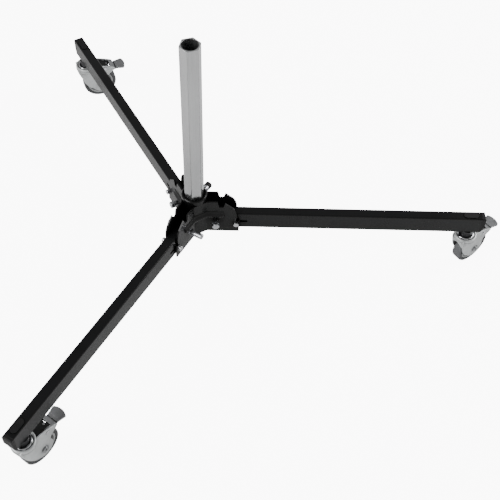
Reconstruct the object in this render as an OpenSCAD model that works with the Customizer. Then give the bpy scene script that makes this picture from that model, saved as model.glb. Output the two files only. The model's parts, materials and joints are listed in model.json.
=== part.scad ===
// Rolling stand base: three folding rectangular legs on braked swivel casters,
// hinged to three formed plates around a round hub tube that holds a hexagonal column.
// Z is up, the floor is at z = 0, and the column stands on the Z axis.
// The first leg points along +X and the others follow at a third of a turn.

/* [Legs] */
// Distance from the column's axis to the tip of a leg
leg_reach = 562; // [400:1:700]
// Height of the legs' top faces above the floor
leg_top = 146; // [140:1:170]
// Width of the rectangular leg tube
leg_w = 20; // [18:1:22]
// Height of the rectangular leg tube
leg_h = 40; // [38:1:44]
// Wall thickness of the leg tube
leg_wall = 1.5; // [1:0.1:2.5]
// Outer corner radius of the leg tube
leg_corner = 2.4; // [2:0.1:3]

/* [Hub] */
// Outer diameter of the round hub tube
hub_d = 42.3; // [42:0.1:43]
// Wall thickness of the hub tube
hub_wall = 2; // [1.5:0.1:2.1]
// Sheet thickness of the formed brackets
plate_t = 3; // [2:0.1:3.5]
// Side gap between a leg and the bracket wing beside it
side_gap = 1.2; // [0.6:0.1:1.5]
// Outer diameter of the collar ring round the top of the hub tube
collar_d = 49; // [47:0.5:50]
// Height of the collar ring
collar_h = 11; // [8:1:14]

/* [Fold] */
// Distance from the column's axis to a leg's pivot bolt
pivot_s = 41; // [41:0.5:43]
// Depth of the pivot bolt below the leg's top face
pivot_drop = 14; // [13:0.5:15]
// Diameter of the pivot bolt's shank
pivot_d = 8; // [6:1:8]
// How far the lock pin slides outwards while a leg folds up
pin_travel = 18; // [16:1:19]
// Diameter of the lock pin
pin_d = 5; // [4:0.5:5]

/* [Column] */
// Width across flats of the hexagonal column
column_flats = 33; // [31:0.5:33]
// Height of the column's open top end above the floor
column_top = 551; // [300:1:900]
// Diameter of the round bore down the column
column_bore = 28.8; // [20:0.1:28.8]
// Turn of the column's flats round the Z axis
column_turn = 17.7; // [0:0.1:60]

/* [Casters] */
// Distance from the column's axis to a caster's swivel axis
caster_s = 534; // [360:1:534]
// Wheel diameter
wheel_d = 75; // [70:1:76]
// Width of the tyre
tyre_w = 22; // [18:1:22]
// Distance from the swivel axis back to the wheel's axle
trail = 26; // [22:1:28]
// Swivel angle of the first leg's caster
swivel_1 = 37.5; // [-180:0.5:180]
// Swivel angle of the second leg's caster
swivel_2 = 21; // [-180:0.5:180]
// Swivel angle of the third leg's caster
swivel_3 = 53; // [-180:0.5:180]

/* [Hidden] */
$fn = 64;

FIT = 0.05;          // radial clearance of a running fit
GAP = 0.3;           // free gap between pieces that pass each other
EPS = 0.01;          // overshoot of a cut past a face

leg_count = 3;
leg_step = 360 / leg_count;
swivel = [swivel_1, swivel_2, swivel_3];
leg_bottom = leg_top - leg_h;

// Hub: wings stand beside the legs, webs lie against the hub tube
hub_r = hub_d / 2;
hub_bore_r = hub_r - hub_wall;
wing_in = leg_w / 2 + side_gap;
wing_out = wing_in + plate_t;
web_in = hub_r;
web_out = web_in + plate_t;
bend = leg_step / 2;
bend_s = (web_out - wing_out * sin(bend)) / cos(bend);
wing_top = leg_top + 37;
wing_bottom = leg_top - 46.7;
wing_end = 86.3;
bead_low = leg_top - 3;
bead_high = leg_top + 12;
bead_proud = 2.4;
hub_low = wing_bottom - 1.3;
hub_floor_t = 3;
collar_low = wing_top;
hub_high = collar_low + collar_h - 3;

// Fold: the pin rides outwards along a spiral round the pivot as its leg turns up
pivot_z = leg_top - pivot_drop;
pivot_r = pivot_d / 2;
fold_max = 90;
pin_s = 80;
pin_z = leg_top - 21.3;
pin_r = pin_d / 2;
pin_head_r = 5;
pin_head_t = 7.2;
slot_r = pin_r + GAP;
leg_nose_r = 15;
spring_end = 134;

// Pivot bolt and its long nut
bolt_spacer_r = 5;
bolt_spacer_end = wing_out + 11.3;
bolt_hex_af = 13;
bolt_hex_t = 7;
nut_r = 5.8;
nut_end = 43;

// Column clamp
clamp_turn = leg_step / 2;
clamp_skew = clamp_turn - column_turn - 30;
clamp_z = leg_top + 22;
clamp_boss_r = 5.5;
clamp_screw_r = 4;
clamp_boss_end = 36;
clamp_screw_end = 50;
knob_r = 7.2;
knob_start = 43;
knob_end = 53;

// Casters: u runs back from the swivel axis along the trail, w is up
wheel_r = wheel_d / 2;
tyre_in_r = 30;
tread_round = (wheel_r - tyre_in_r - GAP) / 2 - 0.2;
axle_z = wheel_r;
axle_r = 4;
fork_in = tyre_w / 2 + 1.5;
fork_t = 2.7;
fork_out = fork_in + fork_t;
crown_r = 22.5;
crown_low = wheel_d + 4;
crown_top = leg_bottom - 14;
recess_r = 17;
recess_floor = crown_top - 6;
ring_in_r = 12.5;
stem_r = 6;
stem_collar_r = 11.5;
stem_foot_r = 9;
brake_u = 40;
brake_z = 79;
brake_pin_r = 2.5;
block_half = 9.4;

// Places its children in the frame of leg i: X along the leg, Z up
module at_leg(i) {
  rotate([0, 0, i * leg_step]) children();
}

// Places its children in the frame of caster i: X along the trail, Z up from the floor
module at_caster(i) {
  at_leg(i) translate([caster_s, 0, 0]) rotate([0, 0, swivel[i] - i * leg_step]) children();
}

// Extrudes a side view (X along, Y up) sideways from y0 to y1
module side_plate(y0, y1) {
  translate([0, y1, 0]) rotate([90, 0, 0]) linear_extrude(y1 - y0) children();
}

// A round bar along the leg frame's Y axis from y0 to y1
module cross_bar(x, z, r, y0, y1) {
  translate([x, y0, z]) rotate([-90, 0, 0]) cylinder(h = y1 - y0, r = r);
}

// A rectangle with round corners, centred
module round_rect(w, h, r) {
  square([w - 2 * r, h], center = true);
  square([w, h - 2 * r], center = true);
  for (x = [-1, 1], y = [-1, 1])
    translate([x * (w / 2 - r), y * (h / 2 - r)]) circle(r);
}

// A slot with round ends between two centres on a horizontal line
module slot_2d(x0, x1, z, r) {
  translate([x0, z]) circle(r);
  translate([x1, z]) circle(r);
  translate([x0, z - r]) square([x1 - x0, 2 * r]);
}

// ---- hub ----

module hub_tube() {
  color("#2b2c2e") difference() {
    translate([0, 0, hub_low]) cylinder(h = hub_high - hub_low, r = hub_r);
    translate([0, 0, hub_low - 1]) cylinder(h = hub_high - hub_low + 2, r = hub_bore_r);
    clamp_axis() cylinder(h = web_out, r = clamp_screw_r + FIT);
  }
}

module collar_ring() {
  lip = 2;
  color("#1c1d1e") rotate_extrude() polygon([
    [hub_r, collar_low], [collar_d / 2, collar_low],
    [collar_d / 2, collar_low + collar_h - lip], [collar_d / 2 - lip, collar_low + collar_h],
    [hub_bore_r + 0.8, collar_low + collar_h], [hub_bore_r + 0.8, hub_high], [hub_r, hub_high]
  ]);
}

module hub_floor() {
  color("#1c1d1e") translate([0, 0, hub_low]) cylinder(h = hub_floor_t, r = hub_bore_r);
}

// The pin's place in the leg's frame, from the pivot, once the leg has folded by a degrees
function pin_place(a) = [pin_s - pivot_s + pin_travel * a / fold_max, pin_z - pivot_z];

// A point of the pin's path across the wing, moved away from the pivot by e
function path_point(a, e) =
  let (place = pin_place(a), turn = atan2(place[1], place[0]) + a)
  [pivot_s, pivot_z] + (norm(place) + e) * [cos(turn), sin(turn)];

// Space that the pin sweeps across a wing: a slot behind a keeper finger, then open outwards
module pin_sweep() {
  stride = 3;
  keeper_turn = 12;
  clear = pin_r + 1.5 * GAP;
  translate([pin_s, pin_z]) circle(clear + 0.1);
  polygon(concat(
    [for (a = [0 : stride : fold_max]) path_point(a, -clear)],
    [for (a = [fold_max : -stride : 0]) path_point(a, a < keeper_turn ? clear : pin_travel)]
  ));
}

// Side view of one wing, from the bend to its outer edge
module wing_outline() {
  difference() {
    polygon([
      [bend_s, wing_bottom], [wing_end - 1, wing_bottom], [wing_end, leg_top - 18.5],
      [wing_end - 0.3, leg_top - 3.3], [83, leg_top + 4], [75, leg_top + 19],
      [65.7, leg_top + 27.4], [58.5, leg_top + 34], [55, leg_top + 22.5],
      [47.4, leg_top + 22.5], [44.4, wing_top], [bend_s, wing_top]
    ]);
    translate([pivot_s, pivot_z]) circle(pivot_r);
    pin_sweep();
  }
}

// Pressed bead: proud of the sheet's outer face at y = 0, with X as height
module bead_profile() {
  root = -1;
  polygon([
    [bead_low, root], [bead_low, 1.4], [bead_low + 1.5, bead_proud],
    [bead_low + 5, bead_proud], [bead_high - 4, 0.9], [bead_high, root]
  ]);
}

// A length of bead along X, standing out towards +Y
module bead(length) {
  rotate([0, -90, 0]) mirror([0, 0, 1]) linear_extrude(length) bead_profile();
}

// One wing with its bead, beside a leg that lies along +X
module wing() {
  side_plate(wing_in, wing_out) wing_outline();
  translate([bend_s, wing_out, 0]) bead(pivot_s - bend_s - nut_r - 1);
}

// A point given as leg-frame distance along and aside, turned into the bracket's frame
function beside(s, y, turn) = [s * cos(turn) - y * sin(turn), s * sin(turn) + y * cos(turn)];

// Formed bracket: two wings and the web between them, symmetric about +X
module bracket_shape() {
  web_half = -beside(bend_s, wing_out, -bend)[1];
  rotate([0, 0, -bend]) wing();
  mirror([0, 1, 0]) rotate([0, 0, -bend]) wing();
  translate([0, 0, wing_bottom]) linear_extrude(wing_top - wing_bottom) polygon([
    [web_in, -web_half], beside(bend_s, wing_in, -bend), beside(bend_s, wing_out, -bend),
    beside(bend_s, -wing_out, bend), beside(bend_s, -wing_in, bend), [web_in, web_half]
  ]);
  translate([web_out, web_half, 0]) rotate([0, 0, -90]) bead(2 * web_half);
}

module bracket(i) {
  color("#2b2c2e") difference() {
    rotate([0, 0, i * leg_step + bend]) bracket_shape();
    if (i == 0) clamp_axis() cylinder(h = 2 * web_out, r = clamp_boss_r);
  }
}

// ---- column and its clamp ----

module column() {
  corner_r = column_flats / sqrt(3);
  color("#c9cbcd") translate([0, 0, hub_low + hub_floor_t])
    linear_extrude(column_top - hub_low - hub_floor_t) rotate(column_turn) difference() {
      intersection() {
        circle(corner_r, $fn = 6);
        circle(corner_r - 0.5);
      }
      circle(column_bore / 2);
    }
}

// Frame of the clamp screw: +Z points out along the screw
module clamp_axis() {
  rotate([0, 0, clamp_turn]) translate([0, 0, clamp_z]) rotate([0, 90, 0]) children();
}

module clamp_boss() {
  color("#b8babd") difference() {
    clamp_axis() translate([0, 0, hub_bore_r + 1]) cylinder(h = clamp_boss_end - hub_bore_r - 1,
      r = clamp_boss_r);
    clamp_axis() cylinder(h = clamp_boss_end + 1, r = clamp_screw_r + FIT);
    translate([0, 0, hub_low]) cylinder(h = hub_high - hub_low, r = hub_r);
  }
}

module clamp_screw() {
  start = (column_flats / 2 + GAP + clamp_screw_r * sin(clamp_skew)) / cos(clamp_skew);
  color("#c4c6c8") clamp_axis() translate([0, 0, start])
    cylinder(h = clamp_screw_end - start, r = clamp_screw_r);
}

module clamp_knob() {
  lobes = 6;
  flute_r = 2.4;
  color("#161617") clamp_axis() difference() {
    union() {
      translate([0, 0, knob_start]) cylinder(h = knob_end - knob_start - 2, r = knob_r);
      translate([0, 0, knob_end - 2]) cylinder(h = 2, r1 = knob_r, r2 = knob_r - 1.5);
      translate([0, 0, knob_start - 3]) cylinder(h = 3, r = clamp_boss_r);
    }
    for (n = [0 : lobes - 1]) rotate(n * 360 / lobes)
      translate([knob_r + flute_r - 1, 0, knob_start - EPS])
        cylinder(h = knob_end - knob_start + 1, r = flute_r);
    translate([0, 0, knob_start - 4]) cylinder(h = clamp_screw_end - knob_start + 4,
      r = clamp_screw_r);
  }
}

// ---- leg pivots ----

// The second leg's bolt and nut go through from the other side
module at_bolt(i) {
  at_leg(i) mirror([0, i == 1 ? 1 : 0, 0]) children();
}

module pivot_bolt(i) {
  color("#b8babd") at_bolt(i) {
    cross_bar(pivot_s, pivot_z, pivot_r, -bolt_spacer_end, nut_end - 4);
    cross_bar(pivot_s, pivot_z, bolt_spacer_r, -bolt_spacer_end, -wing_out);
    translate([pivot_s, -bolt_spacer_end, pivot_z]) rotate([90, 0, 0])
      cylinder(h = bolt_hex_t, r = bolt_hex_af / sqrt(3), $fn = 6);
  }
}

module pivot_nut(i) {
  color("#c4c6c8") at_bolt(i) difference() {
    cross_bar(pivot_s, pivot_z, nut_r, wing_out, nut_end);
    cross_bar(pivot_s, pivot_z, pivot_r, wing_out - 1, nut_end - 4);
  }
}

// ---- legs ----

leg_start = pivot_s - leg_nose_r;
plug_t = 7;
tube_end = leg_reach - plug_t;

module leg_tube(i) {
  inner_r = leg_corner - leg_wall;
  heel = 5;
  color("#26272a") at_leg(i) difference() {
    translate([leg_start, 0, leg_top - leg_h / 2]) rotate([90, 0, 90])
      linear_extrude(tube_end - leg_start) difference() {
        round_rect(leg_w, leg_h, leg_corner);
        round_rect(leg_w - 2 * leg_wall, leg_h - 2 * leg_wall, inner_r);
      }
    // Rounded nose above the pivot, so that the leg clears the hub as it folds up
    difference() {
      translate([leg_start - 1, -leg_w, pivot_z])
        cube([leg_nose_r + 1, 2 * leg_w, leg_top - pivot_z + 1]);
      cross_bar(pivot_s, pivot_z, leg_nose_r, -leg_w - 1, leg_w + 1);
    }
    side_plate(-leg_w, leg_w) polygon([
      [leg_start - 1, leg_bottom - 1], [leg_start + heel, leg_bottom - 1],
      [leg_start + heel, leg_bottom], [leg_start, leg_bottom + 3 * heel],
      [leg_start - 1, leg_bottom + 3 * heel]
    ]);
    cross_bar(pivot_s, pivot_z, pivot_r + FIT, -leg_w, leg_w);
    side_plate(-leg_w, leg_w)
      slot_2d(pin_s, pin_s + pin_travel + 1, pin_z, slot_r);
    translate([caster_s, 0, leg_bottom - 1]) cylinder(h = leg_wall + 2, r = stem_r);
  }
}

module end_plug(i) {
  spigot = 8;
  cut = 4.5;
  nose = 2;
  color("#161617") at_leg(i) {
    intersection() {
      translate([tube_end, 0, leg_top - leg_h / 2]) rotate([90, 0, 90])
        linear_extrude(plug_t) round_rect(leg_w, leg_h, leg_corner);
      side_plate(-leg_w, leg_w) polygon([
        [tube_end, leg_top], [leg_reach - nose, leg_top], [leg_reach, leg_top - nose],
        [leg_reach, leg_top - 0.55 * leg_h], [leg_reach - cut, leg_bottom],
        [tube_end, leg_bottom]
      ]);
    }
    translate([tube_end - spigot, -leg_w / 2 + leg_wall, leg_bottom + leg_wall])
      cube([spigot, leg_w - 2 * leg_wall, leg_h - 2 * leg_wall]);
  }
}

module leg_cap(i) {
  cap_len = 29;
  cap_w = 13;
  cap_t = 1.2;
  half = (cap_len - cap_w) / 2;
  color("#202123") at_leg(i) translate([caster_s, 0, leg_top]) linear_extrude(cap_t) {
    for (x = [-half, half]) translate([x, 0]) circle(cap_w / 2);
    square([2 * half, cap_w], center = true);
  }
}

module lock_pin(i) {
  start = wing_out + GAP;
  color("#c4c6c8") at_leg(i) {
    cross_bar(pin_s, pin_z, pin_r, -start, start);
    for (m = [0, 1]) mirror([0, m, 0]) {
      cross_bar(pin_s, pin_z, pin_head_r, start, start + pin_head_t - 1);
      translate([pin_s, start + pin_head_t - 1, pin_z]) rotate([-90, 0, 0])
        cylinder(h = 1, r1 = pin_head_r, r2 = pin_head_r - 1);
    }
  }
}

// Coil spring between the pin and its seat, drawn as a corrugated sleeve of the same size
module lock_spring(i) {
  start = pin_s + pin_r + GAP;
  coils = 9;
  coil_r = 5.5;
  wire = 1.2;
  pitch = (spring_end - start) / coils;
  color("#9a9c9e") at_leg(i) translate([start, 0, pin_z]) rotate([0, 90, 0]) rotate_extrude()
    difference() {
      translate([coil_r - 2 * wire, 0]) square([2 * wire, spring_end - start]);
      for (n = [0 : coils - 1]) translate([coil_r, (n + 0.5) * pitch]) circle(wire);
    }
}

// ---- casters ----

module stem(i) {
  color("#8d8f92") at_leg(i) translate([caster_s, 0, 0]) {
    translate([0, 0, crown_low - 2.8]) cylinder(h = 2.5, r = stem_foot_r);
    translate([0, 0, crown_low - 2.8]) cylinder(h = leg_top - crown_low - 2, r = stem_r);
    translate([0, 0, recess_floor + GAP])
      cylinder(h = leg_bottom - recess_floor - GAP, r = stem_collar_r);
  }
}

module race_ring(i) {
  ring_out_r = recess_r - 0.5;
  mid = (ring_in_r + ring_out_r) / 2;
  half = (ring_out_r - ring_in_r) / 2;
  color("#dcdde0") at_caster(i) translate([0, 0, recess_floor]) rotate_extrude() {
    translate([mid - half, 0]) square([2 * half, 4]);
    translate([mid, 4]) intersection() {
      circle(half);
      translate([-half, 0]) square([2 * half, half]);
    }
  }
}

// Side view of a fork's cheek: crown at the left, brake arm at the upper right
module cheek_outline() {
  lobe_r = 21.5;
  polygon([
    [-20.5, crown_top], [-20.5, crown_top - 6], [-14, 60], [-9, 47], [0, 31],
    [trail - 18, axle_z - 12], [trail, axle_z - lobe_r + 3], [trail + 18, axle_z - 10],
    [trail + lobe_r, axle_z], [trail + lobe_r, axle_z + 8], [43, 57], [51, 64], [62, 71],
    [63, 76], [36, 86.5], [crown_r - 4.5, crown_top]
  ]);
  translate([trail, axle_z]) circle(lobe_r);
}

module fork(i) {
  color("#b9bcbb") at_caster(i) difference() {
    union() {
      for (m = [0, 1]) mirror([0, m, 0]) side_plate(fork_in, fork_out) cheek_outline();
      translate([0, 0, crown_low]) cylinder(h = crown_top - crown_low, r = crown_r);
      translate([-14, -fork_out, crown_low]) cube([28, 2 * fork_out, crown_top - crown_low - 4]);
    }
    translate([0, 0, recess_floor]) cylinder(h = crown_top, r = recess_r);
    translate([0, 0, crown_low - 1]) cylinder(h = crown_top, r = stem_r + FIT);
    cross_bar(trail, axle_z, axle_r, -fork_out - 1, fork_out + 1);
    cross_bar(brake_u, brake_z, brake_pin_r, -fork_out - 1, fork_out + 1);
  }
}

module axle(i) {
  head_t = 3;
  nut_t = 4;
  socket_r = 2.6;
  color("#7b7d80") at_caster(i) difference() {
    union() {
      cross_bar(trail, axle_z, axle_r, -fork_out, fork_out);
      cross_bar(trail, axle_z, 6.5, -fork_out - head_t, -fork_out);
      translate([trail, fork_out, axle_z]) rotate([-90, 0, 0])
        cylinder(h = nut_t, r = 7, $fn = 6);
    }
    translate([trail, -fork_out - head_t - EPS, axle_z]) rotate([-90, 0, 0])
      cylinder(h = head_t, r = socket_r, $fn = 6);
  }
}

// Turns a profile drawn with X as radius and Y as sideways distance into a wheel part
module wheel_turned(i) {
  at_caster(i) translate([trail, 0, axle_z]) rotate([90, 0, 0]) rotate_extrude($fn = 96)
    children();
}

module tyre(i) {
  half = tyre_w / 2;
  bore_r = tyre_in_r + GAP;
  color("#6f7173") wheel_turned(i) {
    translate([bore_r, -half]) square([wheel_r - bore_r - tread_round, tyre_w]);
    translate([bore_r, -half + tread_round])
      square([wheel_r - bore_r, tyre_w - 2 * tread_round]);
    for (m = [-1, 1]) translate([wheel_r - tread_round, m * (half - tread_round)])
      circle(tread_round);
  }
}

module wheel_core(i) {
  half = tyre_w / 2;
  boss = fork_in - GAP;
  color("#a9abac") wheel_turned(i) polygon([
    [axle_r + FIT, -boss], [9, -boss], [10, -4], [24, -4], [25, -half + 1], [tyre_in_r, -half + 1],
    [tyre_in_r, half - 1], [25, half - 1], [24, 4], [10, 4], [9, boss], [axle_r + FIT, boss]
  ]);
}

// Plan view of the pedal's flared tab, its outer edge an arc
module tab_plan() {
  root_half = 12;
  edge_half = 16;
  edge_r = 26;
  edge_u = 88;
  intersection() {
    polygon([[67, -root_half], [edge_u, -edge_half], [edge_u, edge_half], [67, root_half]]);
    translate([edge_u - edge_r, 0]) circle(edge_r);
  }
}

// Brake pedal: two arms from the pin pass beside the brake block to a crosspiece and tab
module pedal(i) {
  half = fork_in - 0.6;
  color("#8f9193") at_caster(i) {
    difference() {
      for (m = [0, 1]) mirror([0, m, 0]) side_plate(block_half + GAP, half) polygon([
        [34, 78], [42, 74.6], [47, 72], [54, 69], [54, 79], [46, 83], [36, 84]
      ]);
      cross_bar(brake_u, brake_z, brake_pin_r + FIT, -half - 1, half + 1);
    }
    side_plate(-half, half) polygon([
      [53, 69.4], [55, 68.5], [62, 67.8], [71, 69], [71, 73.5], [63, 74], [53, 79.5]
    ]);
    translate([0, 0, 69]) linear_extrude(4.5) tab_plan();
  }
}

module brake_block(i) {
  end_u = 50.5;
  color("#141415") at_caster(i) difference() {
    side_plate(-block_half, block_half) polygon([
      [12, crown_low], [26, 78.6], [34, 76.8], [43, 73.2], [end_u, 70], [end_u, 78],
      [end_u - 2, 80], [24, 87], [12, 88]
    ]);
    translate([0, 0, crown_low - 5]) cylinder(h = 20, r = crown_r);
    cross_bar(brake_u, brake_z, brake_pin_r, -fork_in, fork_in);
  }
}

module brake_pin(i) {
  head_r = 3.6;
  color("#c4c6c8") at_caster(i) {
    cross_bar(brake_u, brake_z, brake_pin_r, -fork_out, fork_out);
    for (m = [0, 1]) mirror([0, m, 0]) cross_bar(brake_u, brake_z, head_r, fork_out, fork_out + 1.2);
  }
}

hub_tube();
collar_ring();
hub_floor();
column();
clamp_boss();
clamp_screw();
clamp_knob();
for (i = [0 : leg_count - 1]) {
  tail = str("_", i + 1);
  bracket(i);
  pivot_bolt(i);
  pivot_nut(i);
  leg_tube(i);
  end_plug(i);
  leg_cap(i);
  lock_pin(i);
  lock_spring(i);
  stem(i);
  race_ring(i);
  fork(i);
  axle(i);
  tyre(i);
  wheel_core(i);
  pedal(i);
  brake_block(i);
  brake_pin(i);
}
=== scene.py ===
import json
import math

import bmesh
import bpy
from mathutils import Matrix, Vector


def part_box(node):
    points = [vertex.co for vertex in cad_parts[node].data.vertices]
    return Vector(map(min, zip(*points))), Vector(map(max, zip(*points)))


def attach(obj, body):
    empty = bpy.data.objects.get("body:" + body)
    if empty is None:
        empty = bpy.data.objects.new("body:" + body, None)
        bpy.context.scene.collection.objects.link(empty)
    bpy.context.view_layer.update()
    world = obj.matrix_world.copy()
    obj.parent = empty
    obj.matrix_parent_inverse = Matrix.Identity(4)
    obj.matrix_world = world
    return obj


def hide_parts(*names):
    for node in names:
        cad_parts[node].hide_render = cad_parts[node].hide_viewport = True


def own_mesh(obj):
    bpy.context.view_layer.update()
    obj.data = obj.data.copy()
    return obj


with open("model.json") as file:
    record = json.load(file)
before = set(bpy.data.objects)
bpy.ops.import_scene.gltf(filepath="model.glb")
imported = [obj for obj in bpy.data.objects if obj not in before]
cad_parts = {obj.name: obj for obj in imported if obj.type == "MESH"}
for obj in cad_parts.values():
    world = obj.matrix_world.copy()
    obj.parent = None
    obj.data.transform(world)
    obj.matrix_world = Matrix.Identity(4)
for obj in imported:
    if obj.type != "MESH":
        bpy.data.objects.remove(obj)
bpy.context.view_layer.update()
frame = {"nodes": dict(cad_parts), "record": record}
record = frame["record"]
joints = {j["name"]: j for j in record["behaviour"]["joints"]}
MM = 0.001
LEGS = (1, 2, 3)

# ---------------------------------------------------------------- camera

CAMERA_AT = Vector((0.07496, -1.13925, 1.52518))
CAMERA_AZIMUTH = math.radians(-1.744)
CAMERA_ELEVATION = math.radians(52.87)
CAMERA_ROLL = math.radians(2.68)
CAMERA_LENS = 66.97


def add_camera():
    """A camera that looks down at the stand from the front."""
    data = bpy.data.cameras.new("camera")
    data.sensor_width = 36
    data.lens = CAMERA_LENS
    back = Vector((
        math.sin(CAMERA_AZIMUTH) * math.cos(CAMERA_ELEVATION),
        -math.cos(CAMERA_AZIMUTH) * math.cos(CAMERA_ELEVATION),
        math.sin(CAMERA_ELEVATION)))
    right = (-back).cross(Vector((0, 0, 1))).normalized()
    up = right.cross(-back)
    turned_right = right * math.cos(CAMERA_ROLL) + up * math.sin(CAMERA_ROLL)
    turned_up = up * math.cos(CAMERA_ROLL) - right * math.sin(CAMERA_ROLL)
    spin = Matrix((turned_right, turned_up, back)).transposed()
    camera = bpy.data.objects.new("camera", data)
    camera.matrix_world = Matrix.Translation(CAMERA_AT) @ spin.to_4x4()
    bpy.context.scene.collection.objects.link(camera)
    bpy.context.scene.camera = camera


# ---------------------------------------------------------------- materials


class Shader:
    """Builds one procedural material around a Principled shader."""

    def __init__(self, name):
        self.material = bpy.data.materials.new(name)
        self.material.use_nodes = True
        self.tree = self.material.node_tree
        self.main = self.tree.nodes["Principled BSDF"]
        self.place = self.node("ShaderNodeTexCoord").outputs["Object"]

    def node(self, kind, **inputs):
        n = self.tree.nodes.new(kind)
        for key, value in inputs.items():
            n.inputs[key.replace("_", " ")].default_value = value
        return n

    def link(self, a, b):
        self.tree.links.new(a, b)

    def noise(self, scale, detail=3.0, stretch=None, rough=0.55):
        """Noise over the object, stretched along its axes if asked."""
        n = self.node("ShaderNodeTexNoise", Scale=scale, Detail=detail, Roughness=rough)
        source = self.place
        if stretch:
            m = self.node("ShaderNodeMapping")
            m.inputs["Scale"].default_value = stretch
            self.link(source, m.inputs["Vector"])
            source = m.outputs["Vector"]
        self.link(source, n.inputs["Vector"])
        return n.outputs["Fac"]

    def cells(self, scale):
        n = self.node("ShaderNodeTexVoronoi", Scale=scale)
        self.link(self.place, n.inputs["Vector"])
        return n.outputs["Distance"]

    def span(self, source, low, high, start=0.0, end=1.0):
        """Maps a value from low..high to start..end."""
        n = self.node("ShaderNodeMapRange")
        n.inputs["From Min"].default_value = low
        n.inputs["From Max"].default_value = high
        n.inputs["To Min"].default_value = start
        n.inputs["To Max"].default_value = end
        self.link(source, n.inputs["Value"])
        return n.outputs["Result"]

    def mix(self, factor, a, b):
        """Mixes two colours, each a tuple or a socket."""
        n = self.node("ShaderNodeMix")
        n.data_type = "RGBA"
        self.link(factor, n.inputs["Factor"])
        for slot, value in ((6, a), (7, b)):
            if isinstance(value, tuple):
                n.inputs[slot].default_value = (*value, 1)
            else:
                self.link(value, n.inputs[slot])
        return n.outputs[2]

    def edges(self, radius):
        """About 1 on sharp outer and inner edges and 0 on flats."""
        bevel = self.node("ShaderNodeBevel", Radius=radius)
        bevel.samples = 4
        true = self.node("ShaderNodeNewGeometry").outputs["Normal"]
        dot = self.node("ShaderNodeVectorMath")
        dot.operation = "DOT_PRODUCT"
        self.link(bevel.outputs["Normal"], dot.inputs[0])
        self.link(true, dot.inputs[1])
        return self.span(dot.outputs["Value"], 0.995, 0.86)

    def painted_shade_mask(self, distance):
        """Ambient-occlusion mask used to paint shade: about 1 on open surfaces and 0 deep in crevices.
        """
        n = self.node("ShaderNodeAmbientOcclusion", Distance=distance)
        n.samples = 8
        return self.span(n.outputs["AO"], 0.55, 0.98)

    def bump(self, layers):
        """Stacks bump layers of (height, strength, distance)."""
        last = None
        for height, strength, distance in layers:
            n = self.node("ShaderNodeBump", Strength=strength, Distance=distance)
            self.link(height, n.inputs["Height"])
            if last:
                self.link(last, n.inputs["Normal"])
            last = n.outputs["Normal"]
        self.link(last, self.main.inputs["Normal"])

    def set(self, **values):
        for key, value in values.items():
            socket = self.main.inputs[key.replace("_", " ")]
            if isinstance(value, tuple):
                socket.default_value = (*value, 1)
            elif isinstance(value, (int, float)):
                socket.default_value = value
            else:
                self.link(value, socket)


def powder_coat(name, dark, light, worn, rough=(0.24, 0.36), shine=0.24):
    """Satin black powder coat: orange peel, faint dust, rubbed edges, and painted shade in crevices."""
    s = Shader(name)
    cloud = s.noise(14, 4)
    peel = s.noise(900, 2)
    grit = s.cells(2600)
    scuff = s.span(s.noise(60, 6, (1, 1, 0.4), 0.7), 0.6, 0.72)
    colour = s.mix(s.span(cloud, 0.35, 0.65), dark, light)
    rub = s.node("ShaderNodeMath")
    rub.operation = "MULTIPLY"
    s.link(s.edges(0.5 * MM), rub.inputs[0])
    s.link(s.span(s.noise(120, 5), 0.45, 0.7), rub.inputs[1])
    colour = s.mix(rub.outputs[0], colour, worn)
    # Painted shade: in crevices the colour darkens towards 0.3 of the dark tone and the specular dims.
    painted_ao_mask = s.painted_shade_mask(18 * MM)
    colour = s.mix(painted_ao_mask, tuple(0.3 * c for c in dark), colour)
    s.set(Base_Color=colour, Roughness=s.span(scuff, 0, 1, *rough),
          Specular_IOR_Level=s.span(painted_ao_mask, 0, 1, 0.03, shine))
    s.bump([(peel, 0.12, 0.05 * MM), (grit, 0.08, 0.03 * MM)])
    return s.material


def moulded(name, dark, light, rough=(0.45, 0.6), grain=1800, strength=0.2):
    """Moulded plastic with a fine spark-eroded texture, a painted highlight along its edges and painted
    shade in crevices.
    """
    s = Shader(name)
    colour = s.mix(s.span(s.noise(35, 4), 0.35, 0.65), dark, light)
    # Painted highlight: edges are lightened to 1.5 times the light tone.
    colour = s.mix(s.edges(0.4 * MM), colour, tuple(1.5 * c + 0.003 for c in light))
    # Painted shade: colour darkens towards a quarter of the dark tone in crevices.
    colour = s.mix(s.painted_shade_mask(6 * MM), tuple(0.25 * c for c in dark), colour)
    s.set(Base_Color=colour, Roughness=s.span(s.noise(90, 5), 0.3, 0.7, *rough), Specular_IOR_Level=0.25)
    s.bump([(s.cells(grain), strength, 0.05 * MM), (s.noise(400, 3), 0.1, 0.05 * MM)])
    return s.material


def plated(name, dark, light, rough=(0.2, 0.36), grain=0.12):
    """Bright plate over steel, with a fine grain and small stains."""
    s = Shader(name)
    fine = s.noise(700, 3, (1, 1, 1))
    stain = s.span(s.noise(45, 6, None, 0.7), 0.4, 0.7)
    colour = s.mix(stain, light, dark)
    colour = s.mix(s.span(fine, 0.3, 0.8, 0.0, 0.35), colour, dark)
    s.set(Base_Color=colour, Metallic=1.0, Roughness=s.span(fine, 0.3, 0.7, *rough))
    s.bump([(fine, grain, 0.04 * MM)])
    return s.material


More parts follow.
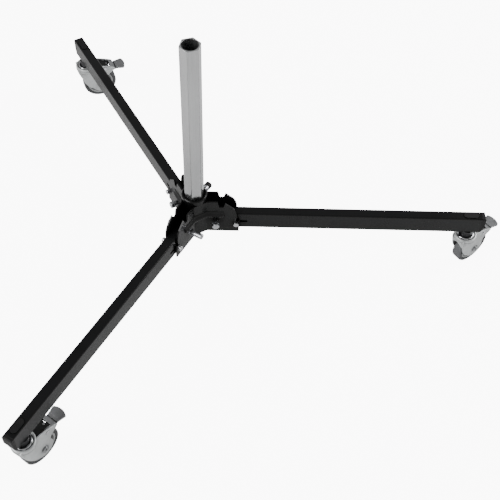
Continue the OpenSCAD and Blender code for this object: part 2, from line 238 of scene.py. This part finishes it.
def pressed_zinc(name, dark, light, edge, rough=(0.34, 0.48), metallic=0.55):
    """Satin zinc finish on pressed steel, finely mottled, with brighter edges that are partly wear and
    partly a painted highlight, and painted shade in crevices.
    """
    s = Shader(name)
    spangle = s.cells(240)
    cloud = s.noise(30, 5, None, 0.65)
    colour = s.mix(s.span(cloud, 0.3, 0.7), dark, light)
    colour = s.mix(s.span(spangle, 0.2, 0.9, 0.0, 0.25), colour, light)
    # Edges lightened to the edge colour: partly wear, partly a painted highlight.
    colour = s.mix(s.edges(0.7 * MM), colour, edge)
    # Painted shade: colour darkens towards 0.3 of the dark tone in crevices.
    colour = s.mix(s.painted_shade_mask(8 * MM), tuple(0.3 * c for c in dark), colour)
    s.set(Base_Color=colour, Metallic=metallic, Roughness=s.span(cloud, 0.3, 0.7, *rough))
    s.bump([(s.noise(1200, 3), 0.1, 0.04 * MM), (cloud, 0.08, 0.3 * MM)])
    return s.material


def rubber(name, dark, light):
    """Grey non-marking rubber: fine grain, floor dust on the tread, and painted shade in crevices."""
    s = Shader(name)
    colour = s.mix(s.span(s.noise(50, 6, None, 0.7), 0.35, 0.7), dark, light)
    specks = s.span(s.noise(420, 2), 0.62, 0.72)
    colour = s.mix(specks, colour, tuple(0.6 * c for c in dark))
    # Painted shade: colour darkens towards 0.2 of the dark tone in crevices.
    colour = s.mix(s.painted_shade_mask(8 * MM), tuple(0.2 * c for c in dark), colour)
    s.set(Base_Color=colour, Roughness=s.span(s.noise(160, 4), 0.3, 0.7, 0.6, 0.8))
    s.bump([(s.noise(1500, 3), 0.25, 0.05 * MM), (s.noise(200, 3), 0.12, 0.2 * MM)])
    return s.material


def anodised(name):
    """Satin anodised aluminium with faint draw lines up the extrusion."""
    s = Shader(name)
    lines = s.noise(500, 3, (1, 1, 0.01))
    cloud = s.noise(18, 4, (1, 1, 0.3))
    colour = s.mix(s.span(cloud, 0.35, 0.65), (0.5, 0.505, 0.51), (0.6, 0.605, 0.61))
    colour = s.mix(s.span(lines, 0.35, 0.75, 0.0, 0.3), colour, (0.4, 0.405, 0.41))
    s.set(Base_Color=colour, Metallic=0.95, Roughness=s.span(lines, 0.3, 0.7, 0.16, 0.27))
    s.bump([(lines, 0.1, 0.05 * MM)])
    return s.material


MATERIALS = {
    "hub_paint": powder_coat("hub_paint", (0.0035, 0.0037, 0.0037), (0.006, 0.0062, 0.0062),
                             (0.04, 0.04, 0.042)),
    "leg_paint": powder_coat("leg_paint", (0.0035, 0.0036, 0.0038), (0.0055, 0.0056, 0.006),
                             (0.035, 0.035, 0.038)),
    "plug_plastic": moulded("plug_plastic", (0.003, 0.003, 0.0032), (0.006, 0.006, 0.0064)),
    "knob_plastic": moulded("knob_plastic", (0.003, 0.003, 0.003), (0.006, 0.006, 0.006)),
    "column_metal": anodised("column_metal"),
    "bolt_zinc": plated("bolt_zinc", (0.42, 0.43, 0.45), (0.72, 0.73, 0.75)),
    "pin_steel": plated("pin_steel", (0.5, 0.5, 0.52), (0.8, 0.8, 0.82), (0.12, 0.26)),
    "spring_steel": plated("spring_steel", (0.25, 0.25, 0.26), (0.45, 0.46, 0.47), (0.25, 0.4)),
    "stem_steel": plated("stem_steel", (0.05, 0.05, 0.052), (0.12, 0.12, 0.125), (0.3, 0.5)),
    "ring_chrome": plated("ring_chrome", (0.7, 0.71, 0.73), (0.9, 0.91, 0.93), (0.04, 0.12),
                          0.03),
    "fork_zinc": pressed_zinc("fork_zinc", (0.46, 0.475, 0.475), (0.6, 0.62, 0.62), (0.8, 0.82, 0.82)),
    "axle_steel": plated("axle_steel", (0.25, 0.255, 0.26), (0.42, 0.43, 0.44), (0.3, 0.45)),
    "tyre_rubber": rubber("tyre_rubber", (0.085, 0.088, 0.09), (0.13, 0.133, 0.137)),
    "core_plastic": moulded("core_plastic", (0.3, 0.31, 0.31), (0.42, 0.43, 0.43), (0.4, 0.55),
                            1500, 0.12),
    "pedal_zinc": pressed_zinc("pedal_zinc", (0.16, 0.165, 0.17), (0.26, 0.265, 0.27),
                               (0.8, 0.81, 0.82), (0.3, 0.44), 0.6),
    "block_plastic": moulded("block_plastic", (0.002, 0.002, 0.002), (0.004, 0.004, 0.004)),
}

# ---------------------------------------------------------------- finish on the CAD nodes

SLOT_OF = {row["node"]: row["material_slot"] for row in record["subparts"]}
# Width of the rounded edges of each kind of CAD node, in millimetres
EDGE = {"leg_tube": 0.35, "end_plug": 0.8, "leg_cap": 0.4, "clamp_knob": 0.7, "clamp_boss": 0.5,
        "clamp_screw": 0.3, "collar_ring": 0.6, "column": 0.25, "hub_tube": 0.3, "lock_pin": 0.4,
        "brake_block": 0.8, "brake_pin": 0.3, "axle": 0.4, "stem": 0.4}
EDGE_ANGLE = math.radians(32)


def finish_cad():
    """Gives each CAD node its material and small rounded edges."""
    for name, node in frame["nodes"].items():
        node.data.materials.clear()
        node.data.materials.append(MATERIALS[SLOT_OF[name]])
        kind = name.rstrip("_0123456789")
        if kind not in EDGE:
            continue
        weld = node.modifiers.new("weld", "WELD")
        weld.merge_threshold = 0.002 * MM
        bevel = node.modifiers.new("bevel", "BEVEL")
        bevel.width = EDGE[kind] * MM
        bevel.segments = 2
        bevel.limit_method = "ANGLE"
        bevel.angle_limit = EDGE_ANGLE
        bevel.use_clamp_overlap = True
        normals = node.modifiers.new("normals", "WEIGHTED_NORMAL")
        normals.weight = 60


finish_cad()

# ---------------------------------------------------------------- mesh helpers


def piece(name, bm, body, slot, replaces=(), bevel=0.0, angle=38):
    """Turns a bmesh into a piece that rides on a body."""
    bmesh.ops.recalc_face_normals(bm, faces=bm.faces)
    for f in bm.faces:
        f.smooth = True
    mesh = bpy.data.meshes.new(name)
    bm.to_mesh(mesh)
    bm.free()
    mesh.set_sharp_from_angle(angle=math.radians(angle))
    mesh.materials.append(MATERIALS[slot])
    obj = bpy.data.objects.new(name, mesh)
    bpy.context.scene.collection.objects.link(obj)
    if bevel:
        m = obj.modifiers.new("bevel", "BEVEL")
        m.width = bevel * MM
        m.segments = 3
        m.limit_method = "ANGLE"
        m.angle_limit = math.radians(angle)
        m.harden_normals = True
    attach(obj, body)
    if replaces:
        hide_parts(*replaces)
    return obj


def smoothed(points, rounds=2):
    """Cuts the corners of a closed outline into curves."""
    for _ in range(rounds):
        points = [p for a, b in zip(points, points[1:] + points[:1])
                  for p in ((0.75 * a[0] + 0.25 * b[0], 0.75 * a[1] + 0.25 * b[1]),
                            (0.25 * a[0] + 0.75 * b[0], 0.25 * a[1] + 0.75 * b[1]))]
    return points


def arc(x, z, r, start, end, steps):
    """Points on an arc round (x, z), in degrees."""
    turns = [math.radians(start + (end - start) * i / steps) for i in range(steps + 1)]
    return [(x + r * math.cos(a), z + r * math.sin(a)) for a in turns]


def add_prism(bm, outline, low, high, matrix, across="y"):
    """A solid of an outline between two planes, in millimetres, moved by matrix."""
    def at(p, h):
        local = (p[0], h, p[1]) if across == "y" else (p[0], p[1], h)
        return matrix @ (Vector(local) * MM)
    rings = [[bm.verts.new(at(p, h)) for p in outline] for h in (low, high)]
    bm.faces.new(rings[0])
    bm.faces.new(rings[1][::-1])
    for i in range(len(outline)):
        j = (i + 1) % len(outline)
        bm.faces.new((rings[0][i], rings[0][j], rings[1][j], rings[1][i]))


def add_lathe(bm, profile, matrix, steps=64, closed=True):
    """Turns a profile of (radius, height) in millimetres round local Z, moved by matrix."""
    rings = []
    for i in range(steps):
        a = 2 * math.pi * i / steps
        rings.append([bm.verts.new(matrix @ (Vector((r * math.cos(a), r * math.sin(a), h)) * MM))
                      for r, h in profile])
    count = len(profile) if closed else len(profile) - 1
    for i in range(steps):
        a, b = rings[i], rings[(i + 1) % steps]
        for j in range(count):
            k = (j + 1) % len(profile)
            bm.faces.new((a[j], b[j], b[k], a[k]))
    bmesh.ops.remove_doubles(bm, verts=bm.verts, dist=1e-7)


def add_loft(bm, rings):
    """Joins closed rings of vertices into a solid with flat ends."""
    count = len(rings[0])
    for a, b in zip(rings, rings[1:]):
        for i in range(count):
            j = (i + 1) % count
            bm.faces.new((a[i], a[j], b[j], b[i]))
    bm.faces.new(rings[0][::-1])
    bm.faces.new(rings[-1])


def add_tube(bm, path, radius, sides):
    """A round wire along a path of points in metres, with closed ends."""
    rings = []
    up = Vector((0, 0, 1))
    for i, p in enumerate(path):
        ahead = (path[min(i + 1, len(path) - 1)] - path[max(i - 1, 0)]).normalized()
        side = ahead.cross(up)
        if side.length < 0.2:
            side = ahead.cross(Vector((1, 0, 0)))
        side.normalize()
        up = side.cross(ahead).normalized()
        rings.append([bm.verts.new(p + radius * (math.cos(a) * side + math.sin(a) * up))
                      for a in (2 * math.pi * s / sides for s in range(sides))])
    add_loft(bm, rings)


def frame_at(origin, x, y, z):
    """A matrix whose axes are x, y and z."""
    spin = Matrix((Vector(x), Vector(y), Vector(z))).transposed()
    return Matrix.Translation(origin) @ spin.to_4x4()


def mirrored(matrix):
    """The same frame, mirrored across its sideways axis."""
    return matrix @ Matrix.Diagonal((1, -1, 1, 1))


def leg_frame(k):
    """Frame of leg k: X along the leg from the column's axis, Z up from the floor."""
    c = Vector(joints[f"swivel_{k}"]["pos_m"])
    out = Vector((c.x, c.y, 0)).normalized()
    return frame_at(Vector((0, 0, 0)), out, Vector((-out.y, out.x, 0)), Vector((0, 0, 1)))


def caster_frame(k):
    """Frame of caster k: X back along the trail from the swivel axis, Z up from the floor."""
    c = Vector(joints[f"swivel_{k}"]["pos_m"])
    side = Vector(joints[f"wheel_spin_{k}"]["axis"]).normalized()
    return frame_at(Vector((c.x, c.y, 0)), Vector((side.y, -side.x, 0)), side, Vector((0, 0, 1)))


def wheel_frame(k):
    """Frame of wheel k: Z along the axle, X back along the trail."""
    at = Vector(joints[f"wheel_spin_{k}"]["pos_m"])
    side = Vector(joints[f"wheel_spin_{k}"]["axis"]).normalized()
    return frame_at(at, Vector((side.y, -side.x, 0)), Vector((0, 0, -1)), side)


# ---------------------------------------------------------------- casters

# Millimetres and degrees. Side views are (u back from the swivel axis, z up), the tab's outline
# is (u, v sideways), and turned profiles are (radius, height).
TRAIL = 26.0
AXLE_Z = 37.5
CHEEK_IN, CHEEK_OUT = 12.5, 15.2
CHEEK_FRONT = [(-20.5, 91.9), (-20.5, 86), (-14, 60), (-9, 47), (-1, 34)]
CHEEK_ROUND = (20.0, -150, 35, 16)  # radius, first and last angle, steps
CHEEK_BACK = [(43.2, 56.5), (51, 64), (62, 71), (63, 76), (36, 86.5), (18, 91.9)]
CROWN_STUB = [(-13.5, 79), (13.5, 79), (13.5, 88), (-13.5, 88)]
CROWN = [(6.2, 79), (19.6, 79), (21.6, 80), (22.5, 82), (22.5, 84), (21.7, 84.5), (21.7, 85.2),
         (22.5, 85.7), (22.5, 89), (22.1, 90.7), (21.2, 91.7), (19.9, 92), (18.5, 91.7), (17.5, 90.8),
         (17.05, 89.5), (17.0, 87), (16.6, 86.2), (15.8, 86), (6.2, 86)]
SHOULDER_TURN = (132.6, 180.0)
SHOULDER_Z = (61.0, 84.0)
SHOULDER_R, SHOULDER_TAPER, SHOULDER_WALL, SHOULDER_STEPS = 22.3, 1.7, 2.2, 10
TYRE = [(30.2, -9.4), (30.9, -10.3), (32, -10.6), (32.6, -10.0), (33.2, -10.0), (33.8, -10.7),
        (35, -10.9), (36.2, -10.2), (37.1, -8.8), (37.5, -6.6), (37.5, -2)]
CORE = [(4.1, -12.1), (8.4, -12.1), (9.1, -11.4), (9.5, -6.2), (11.4, -4.2), (22.4, -3.7), (24.3, -5),
        (25.1, -8.6), (26, -9.8), (28.9, -10), (29.9, -9.2)]
RIBS = 6
RIB = [(9, -1), (25.4, -0.8), (25.4, 0.8), (9, 1)]
RIB_NEAR, RIB_FAR = 3.2, 8.2
ARM = [(34.2, 78), (42, 74.6), (47, 72), (54, 69.1), (58, 68.6), (58, 77.4), (54, 79), (46, 82.8),
       (36.5, 83.8)]
ARM_IN, ARM_OUT = 9.8, 11.9
CROSSPIECE = [(53.1, 69.6), (55, 68.6), (62, 67.9), (70, 69.2), (70, 73.4), (65.5, 73.6), (64.5, 72.2),
              (63.2, 72.2), (62.4, 74.2), (53.1, 79.2)]
TAB_SIDE = [(67.2, 12), (76, 13.8), (81.6, 15.2)]
TAB_U, TAB_R, TAB_ANGLE, TAB_STEPS, TAB_END = 62, 26, 33, 12, 87.9
TAB_Z = (71.3, 73.4)
RIM_Z = (69.1, 71.5)
RIM_IN, RIM_SHIFT = (0.985, 0.88), 0.9
RIVET_AT = (45.8, 0, 80.6)
RIVET_TILT = 15.9
RIVET = [(0.001, 1.1), (1.0, 1.0), (1.8, 0.7), (2.2, 0), (2.2, -1), (0.001, -1)]
SEAL = [(11.75, 86.2), (12.35, 86.2), (12.35, 89), (12.05, 89.5), (11.75, 89)]


def both_ways(profile):
    """A closed profile from its lower half, mirrored across height 0."""
    return profile + [(r, -h) for r, h in reversed(profile)]


def add_shoulder(bm, matrix):
    """Curved corner of a fork, from a cheek's front edge round under the crown's front."""
    side, front = SHOULDER_TURN
    foot, top = SHOULDER_Z
    rings = []
    for i in range(SHOULDER_STEPS + 1):
        t = i / SHOULDER_STEPS
        a = math.radians(side + (front - side) * t)
        low = foot + (top - 1.0 - foot) * t ** 0.8
        ring = []
        for z, inset in ((top, 0), (low, 0), (low, SHOULDER_WALL), (top, SHOULDER_WALL)):
            r = SHOULDER_R - SHOULDER_TAPER * (top - z) / (top - foot) - inset
            ring.append(bm.verts.new(matrix @ (Vector((r * math.cos(a), r * math.sin(a), z)) * MM)))
        rings.append(ring)
    add_loft(bm, rings)


def add_fork(k):
    """Pressed fork: a crown with a grooved edge and a raised lip, and two shouldered cheeks."""
    at = caster_frame(k)
    bm = bmesh.new()
    r, start, end, steps = CHEEK_ROUND
    outline = smoothed(CHEEK_FRONT + arc(TRAIL, AXLE_Z, r, start, end, steps) + CHEEK_BACK, 2)
    for m in (at, mirrored(at)):
        add_prism(bm, outline, CHEEK_IN, CHEEK_OUT, m)
        add_shoulder(bm, m)
    for y0, y1 in ((-CHEEK_OUT, -CHEEK_IN), (CHEEK_IN, CHEEK_OUT)):
        add_prism(bm, CROWN_STUB, y0, y1, at)
    piece(f"fork_cheeks_{k}", bm, f"fork_{k}", "fork_zinc", bevel=0.7)
    bm = bmesh.new()
    add_lathe(bm, CROWN, at, 96)
    piece(f"fork_crown_{k}", bm, f"fork_{k}", "fork_zinc", (f"fork_{k}",), angle=60)


def add_wheel(k):
    """Tyre with a sidewall groove, and a ribbed core."""
    at = wheel_frame(k)
    bm = bmesh.new()
    add_lathe(bm, both_ways(TYRE), at, 128)
    piece(f"tyre_round_{k}", bm, f"wheel_{k}", "tyre_rubber", (f"tyre_{k}",), angle=50)
    bm = bmesh.new()
    add_lathe(bm, both_ways(CORE), at, 96)
    for n in range(RIBS):
        turn = at @ Matrix.Rotation(math.radians(360 / RIBS * n), 4, "Z")
        for sign in (-1, 1):
            low, high = sorted((sign * RIB_NEAR, sign * RIB_FAR))
            add_prism(bm, RIB, low, high, turn, "z")
    piece(f"wheel_ribbed_{k}", bm, f"wheel_{k}", "core_plastic", (f"wheel_core_{k}",), 0.3)


def add_pedal(k):
    """Brake pedal: two arms, a stepped crosspiece and a flared tab with a rim under its edge."""
    at = caster_frame(k)
    bm = bmesh.new()
    for m in (at, mirrored(at)):
        add_prism(bm, smoothed(ARM, 1), ARM_IN, ARM_OUT, m)
    add_prism(bm, CROSSPIECE, -ARM_OUT, ARM_OUT, at)
    edge = arc(TAB_U, 0, TAB_R, -TAB_ANGLE, TAB_ANGLE, TAB_STEPS)
    tab = [(u, -v) for u, v in TAB_SIDE] + edge + TAB_SIDE[::-1]
    tab = [(min(u, TAB_END), v) for u, v in tab]
    add_prism(bm, tab, *TAB_Z, at, "z")
    inside = [(u * RIM_IN[0] + RIM_SHIFT, v * RIM_IN[1]) for u, v in tab]
    low, high, in_low, in_high = (
        [bm.verts.new(at @ (Vector((u, v, z)) * MM)) for u, v in outline]
        for outline, z in ((tab, RIM_Z[0]), (tab, RIM_Z[1]), (inside, RIM_Z[0]), (inside, RIM_Z[1])))
    for i in range(len(tab) - 1):
        bm.faces.new((low[i], low[i + 1], high[i + 1], high[i]))
    for i in range(len(tab) - 1):
        bm.faces.new((in_high[i], in_high[i + 1], in_low[i + 1], in_low[i]))
        bm.faces.new((in_low[i], in_low[i + 1], low[i + 1], low[i]))
    piece(f"pedal_pressed_{k}", bm, f"brake_{k}", "pedal_zinc", (f"pedal_{k}",), 0.5)


def add_caster_trim(k):
    """Rivet on the brake block and a seal inside the bearing ring."""
    at = caster_frame(k)
    tilt = at @ Matrix.Translation(Vector(RIVET_AT) * MM)
    tilt = tilt @ Matrix.Rotation(math.radians(RIVET_TILT), 4, "Y")
    bm = bmesh.new()
    add_lathe(bm, RIVET, tilt, 40, False)
    piece(f"block_rivet_{k}", bm, f"fork_{k}", "axle_steel")
    bm = bmesh.new()
    add_lathe(bm, SEAL, at, 64)
    piece(f"bearing_seal_{k}", bm, f"fork_{k}", "block_plastic")


for k in LEGS:
    add_fork(k)
    add_wheel(k)
    add_pedal(k)
    add_caster_trim(k)

# ---------------------------------------------------------------- fasteners

# Profiles are (radius, distance along the axis), in millimetres from the pivot's middle, or for
# the ferrule from the column's axis
HEX = 7.5
HEAD = [(1.0, 25.5), (1.0, 30.9), (0.86, 32.1), (0.6, 32.5)]  # share of the hexagon, distance
SHANK = [(0.001, -38), (4, -38), (4, 14.3), (5, 14.3), (5, 23.9), (7, 24.3), (7, 25.5), (0.001, 25.5)]
NUT = [(4.02, -14.3), (5.8, -14.3), (5.8, -16.3), (5.3, -16.7), (5.3, -17.5), (5.8, -17.9),
       (5.8, -39.8), (5.5, -40.2), (5.5, -40.8), (5.8, -41.2), (5.8, -41.9), (4.8, -43), (0.001, -43),
       (0.001, -38.2), (4.02, -38.2)]
FERRULE = [(4.02, 36.4), (5.9, 36.4), (6.5, 37.0), (6.5, 39.2), (6.1, 39.5), (6.1, 40.1), (6.5, 40.4),
           (6.5, 42.2), (6.1, 42.7), (4.02, 42.7)]


def bolt_frame(k):
    """Frame of leg k's pivot bolt: Z along it towards its head."""
    at = leg_frame(k)
    pivot = Vector(joints[f"leg_fold_{k}"]["pos_m"])
    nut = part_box(f"pivot_nut_{k}")
    centre = (Vector(nut[0]) + Vector(nut[1])) / 2
    side = at.to_3x3() @ Vector((0, 1, 0))
    head = -side if (centre - pivot).dot(side) > 0 else side
    out = at.to_3x3() @ Vector((1, 0, 0))
    return frame_at(pivot, out, head.cross(out), head)


def add_fasteners(k):
    """Pivot bolt with a domed, chamfered hexagon head over a collar, and its long nut."""
    at = bolt_frame(k)
    bm = bmesh.new()
    corners = arc(0, 0, HEX, 0, 300, 5)
    add_loft(bm, [[bm.verts.new(at @ (Vector((x * size, y * size, h)) * MM)) for x, y in corners]
                  for size, h in HEAD])
    piece(f"bolt_head_{k}", bm, "hub", "bolt_zinc", bevel=0.5, angle=20)
    bm = bmesh.new()
    add_lathe(bm, SHANK, at, 48, False)
    piece(f"bolt_shank_{k}", bm, "hub", "bolt_zinc", (f"pivot_bolt_{k}",), angle=35)
    bm = bmesh.new()
    add_lathe(bm, NUT, at, 48)
    piece(f"nut_turned_{k}", bm, "hub", "bolt_zinc", (f"pivot_nut_{k}",), angle=35)


def add_ferrule():
    """Bright ferrule between the clamp's boss and its knob."""
    clamp = joints["clamp_turn"]
    out = Vector(clamp["axis"]).normalized()
    side = Vector((-out.y, out.x, 0))
    axis = Vector((0, 0, clamp["pos_m"][2]))
    bm = bmesh.new()
    add_lathe(bm, FERRULE, frame_at(axis, side, Vector((0, 0, 1)), out), 48)
    piece("clamp_ferrule", bm, "clamp", "bolt_zinc", angle=30)


for k in LEGS:
    add_fasteners(k)
add_ferrule()

# ---------------------------------------------------------------- bracket beads

# In millimetres; the bead's profile is (height over the leg's top, distance out from the sheet)
LEG_TOP = 146.0
WING_OUT = 14.2
WEB_OUT = 24.15
BEND_S = 23.7
BEND = 60
BEAD_END = 57.0
BEAD = [(-3.3, -0.6), (-3.3, 1.6), (-2.9, 3.4), (-2.0, 4.3), (-0.8, 4.7), (1.8, 4.6), (3.4, 4.0),
        (4.8, 3.0), (6.6, 2.0), (8.8, 1.3), (11.2, 0.6), (12.2, -0.6)]


def bead_stations():
    """Stations of one half of a bead: (x, y, angle of its normal, how far it stands out)."""
    turn = math.radians(-BEND)
    stations = []
    for s, proud in ((BEAD_END, 0.1), (BEAD_END - 0.8, 0.5), (BEAD_END - 2, 0.8), (BEAD_END - 4, 1.0),
                     (BEAD_END - 14, 1.0), (BEND_S + 8, 1.0), (BEND_S + 4, 1.0)):
        stations.append((s * math.cos(turn) - WING_OUT * math.sin(turn),
                         s * math.sin(turn) + WING_OUT * math.cos(turn), 90 - BEND, proud))
    corner = BEND_S * math.sin(turn) + WING_OUT * math.cos(turn)
    stations.append((WEB_OUT + 0.5, corner + 0.1, (90 - BEND) / 2, 1.0))
    stations.append((WEB_OUT, corner + 4, 0, 1.0))
    return stations


def add_bead(k):
    """Rolled stiffening bead along both wings of a bracket and the web between them."""
    at = leg_frame(k) @ Matrix.Rotation(math.radians(BEND), 4, "Z")
    half = bead_stations()
    stations = half + [(x, -y, -a, proud) for x, y, a, proud in reversed(half)]
    bm = bmesh.new()
    rings = []
    for x, y, angle, proud in stations:
        n = (math.cos(math.radians(angle)), math.sin(math.radians(angle)))
        ring = []
        for z, out in BEAD:
            d = out * proud if out > 0 else out
            ring.append(bm.verts.new(at @ (Vector((x + n[0] * d, y + n[1] * d, LEG_TOP + z)) * MM)))
        rings.append(ring)
    add_loft(bm, rings)
    piece(f"bead_rolled_{k}", bm, "hub", "hub_paint", angle=50)


for k in LEGS:
    add_bead(k)

# ---------------------------------------------------------------- leg springs

SPRING = (83.2, 133.8)  # start and end along the leg, in millimetres
SPRING_Z = 124.7
SPRING_R = 4.5
WIRE_R = 0.65
SPRING_TURNS = 15
STEPS_A_TURN = 20
SPRING_MARGIN = 0.7


def add_spring(k):
    """Coil spring behind the lock pin, drawn at one fixed length; the real spring shortens as the pin
    slides out.
    """
    at = leg_frame(k)
    start, end = SPRING
    path = []
    steps = SPRING_TURNS * STEPS_A_TURN
    for i in range(steps + 1):
        t = i / steps
        a = 2 * math.pi * SPRING_TURNS * t
        path.append(at @ (Vector((start + SPRING_MARGIN + (end - start - 2 * SPRING_MARGIN) * t,
                                  SPRING_R * math.cos(a), SPRING_Z + SPRING_R * math.sin(a))) * MM))
    bm = bmesh.new()
    add_tube(bm, path, WIRE_R * MM, 8)
    spring = piece(f"spring_coil_{k}", bm, f"leg_{k}", "spring_steel", (f"lock_spring_{k}",))
    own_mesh(spring)


for k in LEGS:
    add_spring(k)

# ---------------------------------------------------------------- stage

PAPER_WHITE = 9.0    # how bright the floor and the surround look to the camera alone
SKY = (0.85, 0.3)    # what the surround gives off to all else, low down and overhead
FLOOR_HALF = 6
LIGHT_AIM = (0, 0, 0.1)


def area_light(name, at, size, power):
    """A rectangular light, its sizes in metres, that faces the stand."""
    data = bpy.data.lights.new(name, "AREA")
    data.shape = "RECTANGLE"
    data.size, data.size_y = size
    data.energy = power
    light = bpy.data.objects.new(name, data)
    light.location = at
    light.rotation_euler = (Vector(LIGHT_AIM) - Vector(at)).to_track_quat("-Z", "Y").to_euler()
    bpy.context.scene.collection.objects.link(light)


def add_stage():
    """A pale floor, a pale surround and two soft side lights."""
    world = bpy.data.worlds.new("surround")
    world.use_nodes = True
    tree = world.node_tree
    sky = tree.nodes["Background"]
    sky.inputs["Color"].default_value = (1, 1, 1, 1)
    height = tree.nodes.new("ShaderNodeSeparateXYZ")
    tree.links.new(tree.nodes.new("ShaderNodeTexCoord").outputs["Generated"], height.inputs[0])
    fade = tree.nodes.new("ShaderNodeMapRange")
    for key, value in (("From Min", 0.1), ("From Max", 0.9), ("To Min", SKY[0]), ("To Max", SKY[1])):
        fade.inputs[key].default_value = value
    tree.links.new(height.outputs["Z"], fade.inputs["Value"])
    pick = tree.nodes.new("ShaderNodeMix")
    pick.inputs[3].default_value = PAPER_WHITE
    tree.links.new(tree.nodes.new("ShaderNodeLightPath").outputs["Is Camera Ray"], pick.inputs[0])
    tree.links.new(fade.outputs["Result"], pick.inputs[2])
    tree.links.new(pick.outputs[0], sky.inputs["Strength"])
    bpy.context.scene.world = world
    mesh = bpy.data.meshes.new("floor")
    corners = [(x * FLOOR_HALF, y * FLOOR_HALF, 0) for x, y in ((-1, -1), (1, -1), (1, 1), (-1, 1))]
    mesh.from_pydata(corners, [], [(0, 1, 2, 3)])
    floor = bpy.data.objects.new("floor", mesh)
    bpy.context.scene.collection.objects.link(floor)
    s = Shader("floor")
    s.set(Base_Color=s.mix(s.noise(3, 2), (0.8, 0.8, 0.8), (0.83, 0.83, 0.83)), Roughness=0.9)
    seen = s.node("ShaderNodeMath")
    seen.operation = "MULTIPLY"
    seen.inputs[1].default_value = PAPER_WHITE
    s.link(s.node("ShaderNodeLightPath").outputs["Is Camera Ray"], seen.inputs[0])
    s.set(Emission_Color=(1.0, 1.0, 1.0), Emission_Strength=seen.outputs[0])
    floor.data.materials.append(s.material)
    area_light("left_light", (-2.0, -1.0, 1.6), (1.6, 1.6), 60)
    area_light("right_light", (2.1, 0.8, 1.6), (1.2, 1.2), 45)


add_camera()
add_stage()
